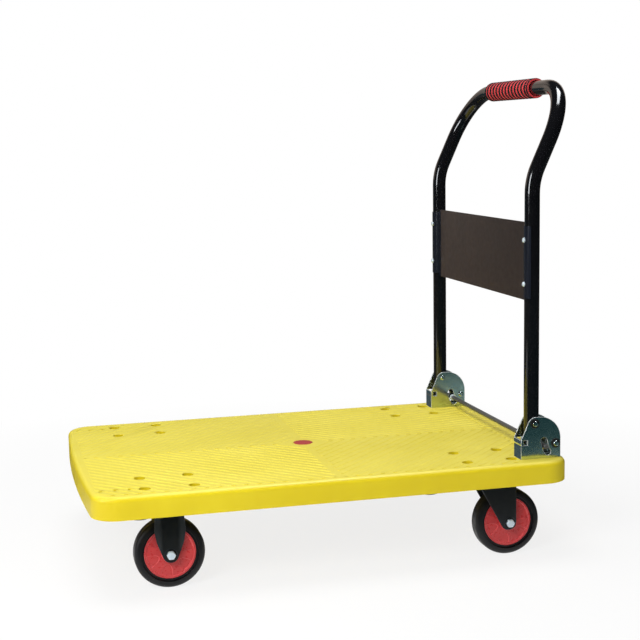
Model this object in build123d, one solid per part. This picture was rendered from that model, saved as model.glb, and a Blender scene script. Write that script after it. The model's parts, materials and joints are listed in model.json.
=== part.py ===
from build123d import *
import os
from math import atan2, degrees, hypot, radians, sin, sqrt, tan

# Folding platform cart, in millimetres. +Z is up, +X points to the handle end, and left is -Y,
# the left hand of the person who pushes. Lengths along X are counted from the middle of the deck.

# Deck
deck_length = 900.0
deck_width = 600.0
deck_side = 41.0
end_bow = 12.0
corner_radius = 48.0
edge_radius = 10.0
deck_wall = 4.0
deck_skin = 5.0
rim_drop = 3.0
rib_thickness = 2.6
rib_pitch_x = 116.0
end_rib_setback = 50.0
rib_pitch_y = 69.0
diagonal_height = 14.0
diagonal_thickness = 3.0
boss_diameter = 26.0
bolt_recess_diameter = 21.0
bolt_recess_depth = 11.0
centre_boss_diameter = 44.0
centre_boss_wall = 3.5
disc_diameter = 38.0
disc_thickness = 1.8
disc_recess = 1.3
disc_rounding = 0.4
strip_width = 19.0
strip_brace_reach = 37.5
groove_setback = 59.0
groove_width = 12.0
groove_depth = 0.9
groove_end_gap = 9.0

# Casters
front_caster_setback = 148.0
rear_caster_setback = 156.0
caster_inset = 83.0
wheel_crown_gap = 8.0
swivel_trail = 46.0
bolt_spacing_x = 87.0
bolt_spacing_y = 75.0
caster_bolt_diameter = 8.0
caster_plate = 3.0
swivel_plate_margin = 11.5
swivel_plate_corner = 13.0
ear_radius = 12.0
plate_neck_radius = 9.0
race_height = 11.0
race_inner = 12.0
race_outer = 27.0
race_groove = 2.42
crown_thickness = 3.5
crown_radius = 32.0
king_pin_diameter = 12.0
fork_gap = 44.0
fork_sheet = 3.0
rigid_leg_top = 48.0
rigid_leg_width = 55.5
rigid_leg_belly = 45.0
rigid_leg_waist = 60.0
rigid_leg_waist_width = 50.0
rigid_leg_end = 14.5
rigid_leg_flat = 32.0
rigid_leg_bend = 2.4
swivel_leg_front = 58.0
swivel_leg_end = 13.0
swivel_leg_toe = 3.5
leg_dimple_diameter = 23.0
leg_dimple_depth = 1.0

# Wheels
wheel_diameter = 127.0
tyre_width = 34.0
tyre_shoulder = 9.0
tyre_bead_width = 25.0
tyre_bead_rim = 4.5
tyre_thickness = 17.0
hub_rim_width = 27.0
hub_web_width = 24.0
hub_rim_wall = 3.5
hub_boss_diameter = 31.0
petal_count = 6
petal_width = 23.0
petal_length = 29.0
petal_inner = 21.0
petal_land = 1.5
petal_depth = 1.5
petal_turn = 20.0
axle_sleeve_diameter = 15.0
axle_diameter = 10.0
axle_flats = 14.2
axle_head = 7.0

# Handle
handle_setback = 72.0
handle_inset = 49.0
tube_diameter = 28.0
tube_wall = 1.5
bar_rise = 170.0
lean_angle = 24.4
bend_radius = 114.0
bar_height = 877.0
bar_corner_radius = 107.0
panel_drop = 77.5
panel_height = 145.0
panel_sheet = 1.2
panel_forward = 5.0
panel_wrap = 60.0
panel_flange_trim = 6.0
panel_screw_inset = 32.0
panel_screw_diameter = 4.4
panel_screw_head = 9.0
panel_screw_dome = 3.0
grip_left_gap = 54.0
grip_right_gap = 15.0
grip_diameter = 39.0
grip_ring_count = 13
grip_ring_foot = 7.8
grip_ring_top = 6.4
grip_end_width = 6.0
grip_groove_depth = 0.8
grip_flange_diameter = 39.0

# Hinge brackets, counted from the lower front corner of a cheek
bracket_length = 79.0
bracket_height = 79.0
bracket_sheet = 2.5
bracket_front_height = 37.0
bracket_slant_run = 19.0
bracket_top_radius = 16.0
bracket_arc_radius = 42.0
seat_depth = 0.6
bracket_hole_pitch = 25.0
bracket_hole_setback = 53.0
bracket_bolt_diameter = 6.0
bracket_head_flats = 10.0
pivot_from_front = 27.0
pivot_height = 67.3
pivot_diameter = 8.0
bush_diameter = 12.0
stub_length = 40.3
hinge_washer_diameter = 18.0
hinge_washer_thickness = 2.0
hinge_washer_rounding = 1.0
hinge_nut_diameter = 11.0
hinge_nut_height = 4.0
hinge_nut_depth = 2.0
spring_bolt_from_rear = 10.0
spring_bolt_height = 27.8
spacer_diameter = 12.0
spring_wire = 2.0
spring_leg = 0.8
spring_ridge = 0.6
tab_from_tube = 0.4
tab_window = 8.5
tab_height = 9.5
tab_reach = 6.0
tab_bottom = 27.0

# Lock rod, at rest behind and below the feet of the handle tube
rod_diameter = 9.0
rod_from_tube = 23.0
rod_height = 21.5
rod_rise = 12.0
rod_drop = 9.5
rod_slant = 19.5
rod_end_reach = 1.5
rod_chamfer = 0.9
collar_diameter = 13.0
collar_width = 6.0
slot_width = 12.6
slot_knee_height = 17.5

# Fasteners, as shares of the thread's diameter
nut_height = 0.8
nut_flats = 1.65
hex_head_height = 0.7
round_head_width = 1.9
round_head_height = 0.45
dome_share = 0.6

# Clearances
running_gap = 0.05
side_gap = 0.5
seat_gap = 0.3
sheet_gap = 0.1
hole_gap = 0.25
axial_gap = 0.3

# Places that follow from the sizes above
caster_height = wheel_diameter + wheel_crown_gap + crown_thickness + axial_gap + race_height + caster_plate
deck_bottom = caster_height - rim_drop
deck_top = deck_bottom + deck_side
skin_bottom = deck_top - deck_skin
axle_height = wheel_diameter / 2
hub_diameter = wheel_diameter - 2 * tyre_thickness
front_caster_x = front_caster_setback - deck_length / 2
rear_caster_x = deck_length / 2 - rear_caster_setback
caster_y = deck_width / 2 - caster_inset
rear_axle_x = rear_caster_x + swivel_trail
plate_bottom = caster_height - caster_plate
crown_top = plate_bottom - race_height - axial_gap
crown_bottom = crown_top - crown_thickness
tube_radius = tube_diameter / 2
tube_x = deck_length / 2 - handle_setback
bend_height = bar_height - bar_rise
panel_bottom = bend_height - panel_drop - panel_height
bar_x = tube_x + (bar_height - bend_height) * tan(radians(lean_angle))
handle_half = deck_width / 2 - handle_inset
grip_length = 2 * (handle_half - bar_corner_radius) - grip_left_gap - grip_right_gap
grip_y = (grip_left_gap - grip_right_gap) / 2
bracket_floor = deck_top - seat_depth
bracket_x = tube_x - pivot_from_front
bracket_half = tube_radius + side_gap
cheek_outer = bracket_half + bracket_sheet
bracket_hole_x = deck_length / 2 - bracket_hole_setback
pivot_z = bracket_floor + pivot_height
spring_bolt_x = bracket_x + bracket_length - spring_bolt_from_rear
spring_bolt_z = bracket_floor + spring_bolt_height
rod_x = tube_x + rod_from_tube
rod_z = bracket_floor + rod_height
origin_x = (bar_x + grip_flange_diameter / 2 - deck_length / 2) / 2

sides = {"left": -1, "right": 1}
foot = (Align.CENTER, Align.CENTER, Align.MIN)


def post(radius, low, high, x=0, y=0):
    """An upright cylinder."""
    return Pos(x, y, low) * Cylinder(radius, high - low, align=foot)


def bar_y(radius, low, high, x=0, z=0):
    """A cylinder along Y."""
    return Pos(x, low, z) * Rot(-90, 0, 0) * Cylinder(radius, high - low, align=foot)


def hexagon(flats, height):
    """A hexagonal prism that stands on the XY plane."""
    return extrude(RegularPolygon(flats / sqrt(3), 6), height)


def sheet_y(profile, low, thickness):
    """A profile drawn in X and Z, made into a plate from low along Y."""
    return Pos(0, low + thickness, 0) * Rot(90, 0, 0) * extrude(profile, thickness)


def domed_head(diameter, height):
    """A round head with a rounded top, on the XY plane."""
    return fillet(post(diameter / 2, 0, height).edges().sort_by(Axis.Z)[-1], height * dome_share)


def strip(start, end, width):
    """A straight band between two points, drawn in a plane."""
    run = hypot(end[0] - start[0], end[1] - start[1])
    turn = degrees(atan2(end[1] - start[1], end[0] - start[0]))
    middle = ((start[0] + end[0]) / 2, (start[1] + end[1]) / 2)
    return Pos(*middle) * Rot(0, 0, turn) * Rectangle(run, width)


# Bolt places shared by the deck, the plates and the fasteners
bolt_offsets = [(i * bolt_spacing_x / 2, j * bolt_spacing_y / 2) for i in (-1, 1) for j in (-1, 1)]
caster_places = [(x, side * caster_y) for x in (front_caster_x, rear_caster_x) for side in (-1, 1)]
caster_bolt_places = [(x + dx, y + dy) for x, y in caster_places for dx, dy in bolt_offsets]
strip_holes = [bracket_hole_x + i * bracket_hole_pitch for i in (-1, 0, 1)]
bracket_bolt_places = [(x, side * handle_half) for x in strip_holes for side in (-1, 1)]


def deck_outline(inset):
    """The deck's outline from above: straight sides, bowed ends and round corners."""
    tip = deck_length / 2 - inset
    half = deck_width / 2 - inset
    side = tip - end_bow
    edges = [
        Line((-side, -half), (side, -half)),
        ThreePointArc((side, -half), (tip, 0), (side, half)),
        Line((side, half), (-side, half)),
        ThreePointArc((-side, half), (-tip, 0), (-side, -half)),
    ]
    face = make_face(edges)
    return fillet(face.vertices(), corner_radius - inset)


def rib_pattern():
    """The full-height ribs and bosses, as seen from below."""
    lines_x = [i * rib_pitch_x for i in (-2, -1, 0, 1, 2)]
    lines_x += [i * (deck_length / 2 - end_rib_setback) for i in (-1, 1)]
    inner = [rib_pitch_y, 2 * rib_pitch_y, caster_y - bolt_spacing_y / 2, caster_y + bolt_spacing_y / 2]
    lines_y = [0] + [side * y for side in (-1, 1) for y in inner]
    pattern = Sketch() + [Pos(x, 0) * Rectangle(rib_thickness, deck_width) for x in lines_x]
    pattern += [Pos(0, y) * Rectangle(deck_length, rib_thickness) for y in lines_y]
    wing = deck_width / 2 - caster_y + bolt_spacing_y / 2
    for x, y in caster_places:
        middle = y + (deck_width / 2 - abs(y) - wing / 2) * (1 if y > 0 else -1)
        pattern += [Pos(x + dx, middle) * Rectangle(rib_thickness, wing) for dx, dy in bolt_offsets[::2]]
    pattern += [Pos(x, y) * Circle(boss_diameter / 2) for x, y in caster_bolt_places]
    for end in (-1, 1):
        for side in (-1, 1):
            place = Pos(end * bracket_hole_x, side * handle_half)
            pattern += place * SlotCenterToCenter(2 * bracket_hole_pitch, strip_width)
            for i in (-1, 1):
                start = (end * bracket_hole_x + i * bracket_hole_pitch, side * handle_half)
                brace = (end * bracket_hole_x + i * strip_brace_reach, side * inner[2])
                pattern += strip(start, brace, rib_thickness)
                pattern += strip(start, (start[0], side * deck_width / 2), rib_thickness)
    pattern += Circle(centre_boss_diameter / 2)
    pattern -= Circle(centre_boss_diameter / 2 - centre_boss_wall)
    return pattern & deck_outline(deck_wall / 2)


def diagonal_pattern():
    """The low diagonal ribs, as seen from below: diamonds drawn through the crossings of the rib grid."""
    lines_x = [0, rib_pitch_x, 2 * rib_pitch_x, deck_length / 2 - end_rib_setback]
    lines_y = [0, rib_pitch_y, 2 * rib_pitch_y, caster_y, deck_width / 2]
    crossings = [((0, 0), (1, 2)), ((1, 1), (2, 2)), ((2, 2), (1, 3)), ((2, 2), (3, 0)), ((1, 3), (0, 4))]
    pattern = Sketch()
    for (i, j), (k, l) in crossings:
        for end in (-1, 1):
            for side in (-1, 1):
                start = (end * lines_x[i], side * lines_y[j])
                stop = (end * lines_x[k], side * lines_y[l])
                pattern += strip(start, stop, diagonal_thickness)
    pattern -= Circle(centre_boss_diameter / 2 - centre_boss_wall / 2)
    return pattern & deck_outline(deck_wall / 2)


def make_deck():
    shell = Pos(0, 0, deck_bottom) * extrude(deck_outline(0), deck_side)
    shell = fillet(shell.faces().sort_by(Axis.Z)[-1].edges(), edge_radius)
    shell -= Pos(0, 0, deck_bottom) * extrude(deck_outline(deck_wall), deck_side - deck_skin)
    rib_height = skin_bottom - caster_height + deck_skin / 2
    deck = shell + Pos(0, 0, caster_height) * extrude(rib_pattern(), rib_height)
    low = skin_bottom - diagonal_height
    deck += Pos(0, 0, low) * extrude(diagonal_pattern(), diagonal_height + deck_skin / 2)
    bolt_hole = caster_bolt_diameter / 2 + hole_gap
    cuts = [post(bolt_hole, deck_bottom, deck_top, x, y) for x, y in caster_bolt_places]
    recess = bolt_recess_diameter / 2
    cuts += [post(recess, deck_top - bolt_recess_depth, deck_top, x, y) for x, y in caster_bolt_places]
    bolt_hole = bracket_bolt_diameter / 2 + hole_gap
    for end in (-1, 1):
        cuts += [post(bolt_hole, deck_bottom, deck_top, end * x, y) for x, y in bracket_bolt_places]
    cuts += [post(disc_diameter / 2 + seat_gap, deck_top - disc_recess, deck_top)]
    seat = (bracket_length + 2 * seat_gap, 2 * (cheek_outer + seat_gap), seat_depth)
    for side in sides.values():
        place = Pos(bracket_x - seat_gap, side * handle_half, deck_top - seat_depth)
        cuts += [place * Box(*seat, align=(Align.MIN, Align.CENTER, Align.MIN))]
    half = handle_half - cheek_outer - groove_end_gap
    hollow = (groove_width**2 / 4 + groove_depth**2) / (2 * groove_depth)
    place = (deck_length / 2 - groove_setback, deck_top - groove_depth + hollow)
    return deck - cuts - bar_y(hollow, -half, half, *place)


def make_disc():
    low = deck_top - disc_recess
    disc = post(disc_diameter / 2, low, low + disc_thickness)
    return fillet(disc.edges().sort_by(Axis.Z)[-1], disc_rounding)


def slot_profile():
    """The bent slot of a cheek, wide enough for the rod's straight path."""
    drift = tan(radians(rod_slant))
    top = (rod_x - rod_rise * drift, rod_z + rod_rise)
    bottom = (rod_x + rod_drop * drift, rod_z - rod_drop)
    knee = (rod_x, bracket_floor + slot_knee_height)
    bands = [strip(top, knee, slot_width), strip(knee, bottom, slot_width)]
    ends = [Pos(*point) * Circle(slot_width / 2) for point in (top, knee, bottom)]
    return Sketch() + bands + ends


def cheek_profile():
    """A bracket cheek seen from the side, with its holes, slot and stop window."""
    rear = bracket_length
    arc = bracket_arc_radius
    crest = rear - arc
    shoulder = bracket_height - arc
    bend = arc * sin(radians(45))
    edges = [
        Polyline((crest, bracket_height), (bracket_slant_run, bracket_height), (0, bracket_front_height),
                 (0, 0), (rear, 0), (rear, shoulder)),
        ThreePointArc((rear, shoulder), (crest + bend, shoulder + bend), (crest, bracket_height)),
    ]
    face = make_face(edges)
    near_top = face.vertices().sort_by_distance((bracket_slant_run, bracket_height, 0))[0]
    face = Pos(bracket_x, bracket_floor) * fillet(near_top, bracket_top_radius)
    face -= Pos(tube_x, pivot_z) * Circle(pivot_diameter / 2 + hole_gap)
    face -= Pos(spring_bolt_x, spring_bolt_z) * Circle(pivot_diameter / 2 + hole_gap)
    face -= slot_profile()
    low = bracket_floor + tab_bottom
    window = Rectangle(tab_window, tab_height, align=(Align.MAX, Align.MIN))
    return face - Pos(tab_front(), low) * window


def tab_front():
    """The front face of the stop tabs, which stand just clear of the tube's curve."""
    inner = bracket_half - tab_reach
    return tube_x - sqrt(tube_radius**2 - inner**2) - tab_from_tube - bracket_sheet


def make_bracket(side):
    """A U-shaped bracket: two cheeks, a floor, a low front wall and two lanced stop tabs."""
    middle = side * handle_half
    corner = (Align.MIN, Align.CENTER, Align.MIN)
    bracket = Box(bracket_length, 2 * cheek_outer, bracket_sheet, align=corner)
    bracket += Box(bracket_sheet, 2 * cheek_outer, bracket_front_height, align=corner)
    bracket = Pos(bracket_x, middle, bracket_floor) * bracket
    tab = Box(bracket_sheet, tab_reach + bracket_sheet, tab_height, align=(Align.MIN, Align.MAX, Align.MIN))
    for cheek in (-1, 1):
        low = middle + (bracket_half if cheek > 0 else -cheek_outer)
        bracket += sheet_y(cheek_profile(), low, bracket_sheet)
        place = Pos(tab_front(), middle + cheek * cheek_outer, bracket_floor + tab_bottom)
        bracket += place * (tab if cheek > 0 else mirror(tab, Plane.XZ))
    hole = bracket_bolt_diameter / 2 + hole_gap
    high = bracket_floor + bracket_sheet
    return bracket - [post(hole, bracket_floor, high, x, middle) for x in strip_holes]


def make_bracket_bolts():
    """Hexagon bolts from the bracket floors through the deck."""
    seat = bracket_floor + bracket_sheet
    low = caster_height - 2 * bracket_bolt_diameter * nut_height
    head = hexagon(bracket_head_flats, bracket_bolt_diameter * hex_head_height)
    bolts = []
    for x, y in bracket_bolt_places:
        bolts.append(Pos(x, y, seat) * head + post(bracket_bolt_diameter / 2, low, seat, x, y))
    return bolts


def make_nuts(places, diameter, seat):
    """Hexagon nuts that hang below a seat."""
    height = diameter * nut_height
    nut = hexagon(diameter * nut_flats, height) - post(diameter / 2, 0, height)
    return [Pos(x, y, seat - height) * nut for x, y in places]


def make_caster_bolts():
    """Round-headed bolts in the recesses of the deck, down through the caster plates."""
    seat = deck_top - bolt_recess_depth
    low = plate_bottom - caster_bolt_diameter
    head = domed_head(caster_bolt_diameter * round_head_width, caster_bolt_diameter * round_head_height)
    bolts = []
    for x, y in caster_bolt_places:
        bolts.append(Pos(x, y, seat) * head + post(caster_bolt_diameter / 2, low, seat, x, y))
    return bolts


def hinge_pin(side, x, z):
    """A bolt through both cheeks, with its round head on the inner cheek."""
    middle = side * handle_half
    inner = middle - side * cheek_outer
    outer = middle + side * (cheek_outer + hinge_washer_thickness + hinge_nut_depth)
    pin = bar_y(pivot_diameter / 2, min(inner, outer), max(inner, outer), x, z)
    head = Rot(90 * side, 0, 0) * domed_head(hinge_nut_diameter, hinge_nut_height)
    return pin + Pos(x, inner, z) * head


def hinge_washer(side, x, z):
    """The black washer under a nut, on the outer cheek."""
    washer = post(hinge_washer_diameter / 2, 0, hinge_washer_thickness)
    washer = fillet(washer.edges().sort_by(Axis.Z)[-1], hinge_washer_rounding)
    washer -= post(pivot_diameter / 2 + running_gap, 0, hinge_washer_thickness)
    return Pos(x, side * (handle_half + cheek_outer), z) * Rot(-90 * side, 0, 0) * washer


def hinge_nut(side, x, z):
    """The round nut on a washer, closed over the end of its bolt."""
    nut = domed_head(hinge_nut_diameter, hinge_nut_height)
    nut -= post(pivot_diameter / 2 + running_gap, 0, hinge_nut_depth + running_gap)
    reach = handle_half + cheek_outer + hinge_washer_thickness
    return Pos(x, side * reach, z) * Rot(-90 * side, 0, 0) * nut


def make_spacer(side):
    """The sleeve on a spring bolt, between the cheeks."""
    half = bracket_half - sheet_gap
    middle = side * handle_half
    low, high = middle - half, middle + half
    sleeve = bar_y(spacer_diameter / 2, low, high, spring_bolt_x, spring_bolt_z)
    return sleeve - bar_y(pivot_diameter / 2 + running_gap, low, high, spring_bolt_x, spring_bolt_z)


def make_spring(side):
    """A close-wound torsion spring: one leg under the lock rod, one down beside a bolt head."""
    inner = spacer_diameter / 2 + seat_gap
    outer = inner + spring_wire
    leg_y = bracket_head_flats / sqrt(3) + seat_gap + spring_leg
    turns = round(2 * (leg_y + spring_leg) / spring_wire)
    half = turns * spring_wire / 2
    valley = outer - spring_ridge
    outline = [(inner, half), (inner, -half), (valley, -half)]
    for i in range(turns):
        start = -half + i * spring_wire
        outline += [(outer, start + spring_wire / 2), (valley, start + spring_wire)]
    coil = revolve(make_face(Polyline(*outline, close=True)), Axis.Y)
    radius = inner + spring_wire / 2
    gap = rod_diameter / 2 + seat_gap + spring_leg
    run, rise = rod_x - spring_bolt_x, rod_z - gap - spring_bolt_z + radius
    lift = Rot(0, -degrees(atan2(rise, run)), 0) * Rot(0, 90, 0)
    reach = hypot(run, rise) + rod_diameter / 2
    coil += Pos(0, -leg_y, -radius) * lift * Cylinder(spring_leg, reach, align=foot)
    drop = spring_bolt_height - bracket_sheet - seat_gap
    coil += Pos(radius, leg_y, -drop) * Cylinder(spring_leg, drop, align=foot)
    return Pos(spring_bolt_x, side * handle_half, spring_bolt_z) * coil


def make_lock_rod():
    reach = handle_half + cheek_outer + rod_end_reach
    rod = bar_y(rod_diameter / 2, -reach, reach, rod_x, rod_z)
    ends = rod.edges().filter_by(GeomType.CIRCLE)
    return chamfer(ends, rod_chamfer)


def make_collars():
    """Collars that keep the rod from sliding sideways out of its slots."""
    inner = handle_half - cheek_outer - seat_gap
    collars = []
    for side in sides.values():
        low, high = sorted((side * inner, side * (inner - collar_width)))
        ring = bar_y(collar_diameter / 2, low, high, rod_x, rod_z)
        collars.append(ring - bar_y(rod_diameter / 2 + running_gap, low, high, rod_x, rod_z))
    return collars


def handle_path():
    foot_z = pivot_z - stub_length
    return FilletPolyline(
        (tube_x, -handle_half, foot_z),
        (tube_x, -handle_half, bend_height),
        (bar_x, -handle_half, bar_height),
        (bar_x, handle_half, bar_height),
        (tube_x, handle_half, bend_height),
        (tube_x, handle_half, foot_z),
        radius=[bend_radius, bar_corner_radius, bar_corner_radius, bend_radius],
    )


# Panel screw places: two on the front of each upright
screw_heights = [panel_bottom + panel_screw_inset, panel_bottom + panel_height - panel_screw_inset]
screw_places = [(side * handle_half, z) for side in (-1, 1) for z in screw_heights]


def screw_hole(y, z):
    """The hole of a panel screw in the panel and the front wall of the tube."""
    radius = panel_screw_diameter / 2 + running_gap
    return Pos(tube_x, y, z) * Rot(0, -90, 0) * Cylinder(radius, tube_diameter, align=foot)


def make_handle_tube():
    path = handle_path()
    start = Plane(origin=path @ 0, z_dir=path % 0)
    tube = sweep(start * Circle(tube_radius), path=path)
    tube -= sweep(start * Circle(tube_radius - tube_wall), path=path)
    for side in sides.values():
        middle = side * handle_half
        low, high = middle - tube_diameter, middle + tube_diameter
        tube -= bar_y(bush_diameter / 2 + running_gap, low, high, tube_x, pivot_z)
    return tube - [screw_hole(y, z) for y, z in screw_places]


def make_bush(side):
    """The pivot bush across a foot of the handle tube."""
    middle = side * handle_half
    low, high = middle - tube_radius, middle + tube_radius
    bush = bar_y(bush_diameter / 2, low, high, tube_x, pivot_z)
    return bush - bar_y(pivot_diameter / 2 + running_gap, low, high, tube_x, pivot_z)


def make_panel():
    """A sheet between the uprights, with flanges that wrap the front of each tube."""
    inner = tube_radius + sheet_gap
    rear = panel_sheet / 2 - panel_forward
    flat = Pos(-panel_forward, 0) * Rectangle(panel_sheet, 2 * (handle_half - sqrt(inner**2 - rear**2)))
    panel = extrude(flat, panel_height)
    ahead = Rectangle(2 * tube_diameter, 3 * tube_diameter, align=(Align.MAX, Align.CENTER))
    for side in sides.values():
        ring = Circle(inner + panel_sheet) - Circle(inner)
        ring &= Pos(rear, 0) * ahead
        ring &= Rot(0, 0, side * (90 - panel_wrap)) * ahead
        flange = extrude(ring, panel_height - 2 * panel_flange_trim)
        panel += Pos(0, side * handle_half, panel_flange_trim) * flange
    panel = Pos(tube_x, 0, panel_bottom) * panel
    return panel - [screw_hole(y, z) for y, z in screw_places]


def make_panel_screws():
    """Pan-head screws through the panel into the front wall of the tube."""
    seat = tube_radius + sheet_gap + panel_sheet
    depth = panel_sheet + sheet_gap + 2 * tube_wall
    screw = domed_head(panel_screw_head, panel_screw_dome) + post(panel_screw_diameter / 2, -depth, 0)
    return [Pos(tube_x - seat, y, z) * Rot(0, -90, 0) * screw for y, z in screw_places]


def make_grip():
    """A ribbed sleeve on the crossbar, with a flange at its left end."""
    inner = tube_radius + sheet_gap
    outer = grip_diameter / 2
    half = grip_length / 2
    pitch = (grip_length - 2 * grip_end_width) / grip_ring_count
    first = -half + grip_end_width
    core = outer - grip_groove_depth
    outline = [(inner, half), (inner, -half), (grip_flange_diameter / 2, -half)]
    outline += [(grip_flange_diameter / 2, first - grip_groove_depth), (core, first)]
    for i in range(grip_ring_count):
        middle = first + (i + 0.5) * pitch
        outline += [(core, middle - grip_ring_foot / 2), (outer, middle - grip_ring_top / 2)]
        outline += [(outer, middle + grip_ring_top / 2), (core, middle + grip_ring_foot / 2)]
    last = half - grip_end_width
    outline += [(core, last), (outer, last + grip_groove_depth)]
    outline += [(outer, half - grip_groove_depth), (core, half)]
    sleeve = revolve(make_face(Polyline(*outline, close=True)), Axis.Y)
    return Pos(bar_x, grip_y, bar_height) * sleeve


def plate_holes(x, y):
    """The four bolt holes of a caster plate."""
    radius = caster_bolt_diameter / 2 + hole_gap
    return [post(radius, plate_bottom, caster_height, x + dx, y + dy) for dx, dy in bolt_offsets]


def fork_legs(leg, axle_x, y):
    """The leg on the -Y side of a wheel and its mirror image, with dimples and holes for the axle."""
    outer = fork_gap / 2 + fork_sheet
    leg -= bar_y(leg_dimple_diameter / 2, -outer, leg_dimple_depth - outer, axle_x, axle_height)
    legs = Pos(0, y, 0) * (leg + mirror(leg, Plane.XZ))
    hole = axle_diameter / 2 + hole_gap
    return legs - bar_y(hole, y - outer, y + outer, axle_x, axle_height)


def rigid_leg(x):
    """A barrel-shaped leg with a flat middle and sides that bend in towards the wheel."""
    top = Pos(x, plate_bottom + caster_plate / 2) * Rectangle(rigid_leg_top, caster_plate)
    belly = Pos(x, caster_height - rigid_leg_belly) * Circle(rigid_leg_width / 2)
    waist = Pos(x, caster_height - rigid_leg_waist) * Circle(rigid_leg_waist_width / 2)
    end = Pos(x, axle_height) * Circle(rigid_leg_end)
    outline = make_hull(top.edges() + belly.edges() + waist.edges() + end.edges())
    inner = -fork_gap / 2
    outer = inner - fork_sheet
    flat, far = rigid_leg_flat / 2, rigid_leg_width
    fall = rigid_leg_bend * (far - flat) / (rigid_leg_width / 2 - flat)
    half = [(far, outer + fall), (flat, outer), (-flat, outer), (-far, outer + fall)]
    section = make_face(Polyline(*half, *[(i, j + fork_sheet) for i, j in reversed(half)], close=True))
    low = axle_height - rigid_leg_end
    bent = Pos(x, 0, low) * extrude(section, caster_height - low)
    return sheet_y(outline, outer, fork_sheet + rigid_leg_bend) & bent


def make_rigid_fork(side):
    """A stamped fork: a plate with four round ears and two bent legs."""
    x, y = front_caster_x, side * caster_y
    half = fork_gap / 2 + fork_sheet
    plate = Rectangle(bolt_spacing_x, 2 * half)
    for end in (-1, 1):
        bar = SlotCenterToCenter(bolt_spacing_y, 2 * ear_radius, rotation=90)
        plate += Pos(end * bolt_spacing_x / 2, 0) * bar
    necks = [v for v in plate.vertices() if abs(abs(v.Y) - half) < hole_gap]
    plate = fillet(necks, plate_neck_radius)
    fork = Pos(x, y, plate_bottom) * extrude(plate, caster_plate)
    fork += fork_legs(rigid_leg(x), x, y)
    return fork - plate_holes(x, y)


def make_swivel_plate(side):
    x, y = rear_caster_x, side * caster_y
    size = (bolt_spacing_x + 2 * swivel_plate_margin, bolt_spacing_y + 2 * swivel_plate_margin)
    plate = extrude(RectangleRounded(*size, swivel_plate_corner), caster_plate)
    plate = Pos(x, y, plate_bottom) * plate - plate_holes(x, y)
    return plate - post(king_pin_diameter / 2 + running_gap, plate_bottom, caster_height, x, y)


def make_king_pin(side):
    """The riveted pin of a swivel caster, with a flat collar below the crown."""
    x, y = rear_caster_x, side * caster_y
    low = crown_bottom - axial_gap
    pin = post(king_pin_diameter / 2, low, caster_height, x, y)
    return pin + post(king_pin_diameter, low - crown_thickness, low, x, y)


def make_race(side):
    """The bearing ring between a swivel plate and its crown."""
    x, y = rear_caster_x, side * caster_y
    low, high = crown_top, crown_top + race_height
    middle = (low + high) / 2
    profile = Polyline(
        (race_inner, low), (race_outer, low), (race_outer, middle - race_groove),
        (race_outer - race_groove, middle), (race_outer, middle + race_groove),
        (race_outer, high), (race_inner, high), close=True,
    )
    ring = revolve(Plane.XZ * make_face(profile), Axis.Z)
    return Pos(x, y, 0) * ring


def make_swivel_fork(side):
    """A fork that trails behind its king pin: a crown and two triangular legs."""
    x, y = rear_caster_x, side * caster_y
    half = fork_gap / 2 + fork_sheet
    rear = rear_axle_x + swivel_leg_end
    front = rear_axle_x - swivel_leg_front
    disc = Pos(x, y) * Circle(crown_radius)
    saddle = Pos((front + rear) / 2, y) * Rectangle(rear - front, 2 * half)
    crown = make_hull(disc.edges() + saddle.edges())
    fork = Pos(0, 0, crown_bottom) * extrude(crown, crown_thickness)
    middle = crown_bottom + crown_thickness / 2
    top = Pos((front + rear) / 2, middle) * Rectangle(rear - front, crown_thickness)
    end = Pos(rear_axle_x, axle_height) * Circle(swivel_leg_end)
    toe = Pos(rear_axle_x - swivel_leg_toe, axle_height) * Circle(swivel_leg_end)
    leg = sheet_y(make_hull(top.edges() + toe.edges() + end.edges()), -half, fork_sheet)
    fork += fork_legs(leg, rear_axle_x, y)
    return fork - post(king_pin_diameter / 2 + running_gap, crown_bottom, crown_top, x, y)


def make_axle_bolt(x, y, side):
    """A bolt through both legs, with its hexagon head on the outer leg."""
    seat = y + side * (fork_gap / 2 + fork_sheet - leg_dimple_depth)
    end = y - side * (fork_gap / 2 + fork_sheet + axle_head)
    bolt = bar_y(axle_diameter / 2, min(seat, end), max(seat, end), x, axle_height)
    return bolt + Pos(x, seat, axle_height) * Rot(-90 * side, 0, 0) * hexagon(axle_flats, axle_head)


def make_axle_nut(x, y, side):
    seat = y - side * (fork_gap / 2 + fork_sheet - leg_dimple_depth)
    nut = hexagon(axle_flats, axle_head) - post(axle_diameter / 2, 0, axle_head)
    return Pos(x, seat, axle_height) * Rot(90 * side, 0, 0) * nut


def make_axle_sleeve(x, y):
    """The tube that the wheel turns on, clamped between the legs."""
    low, high = y - fork_gap / 2, y + fork_gap / 2
    sleeve = bar_y(axle_sleeve_diameter / 2, low, high, x, axle_height)
    return sleeve - bar_y(axle_diameter / 2 + running_gap, low, high, x, axle_height)


def make_tyre(x, y):
    """A solid rubber tyre with round shoulders and a set-back bead beside the hub."""
    outer = wheel_diameter / 2
    inner = hub_diameter / 2 + sheet_gap
    half = tyre_width / 2
    bead = tyre_bead_width / 2
    lip = inner + tyre_bead_rim
    profile = make_face(Polyline(
        (inner, -bead), (lip, -bead), (lip, -half), (outer, -half),
        (outer, half), (lip, half), (lip, bead), (inner, bead), close=True,
    ))
    shoulders = [v for v in profile.vertices() if v.X > outer - sheet_gap]
    profile = fillet(shoulders, tyre_shoulder)
    return Pos(x, y, axle_height) * revolve(profile, Axis.Y)


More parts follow.
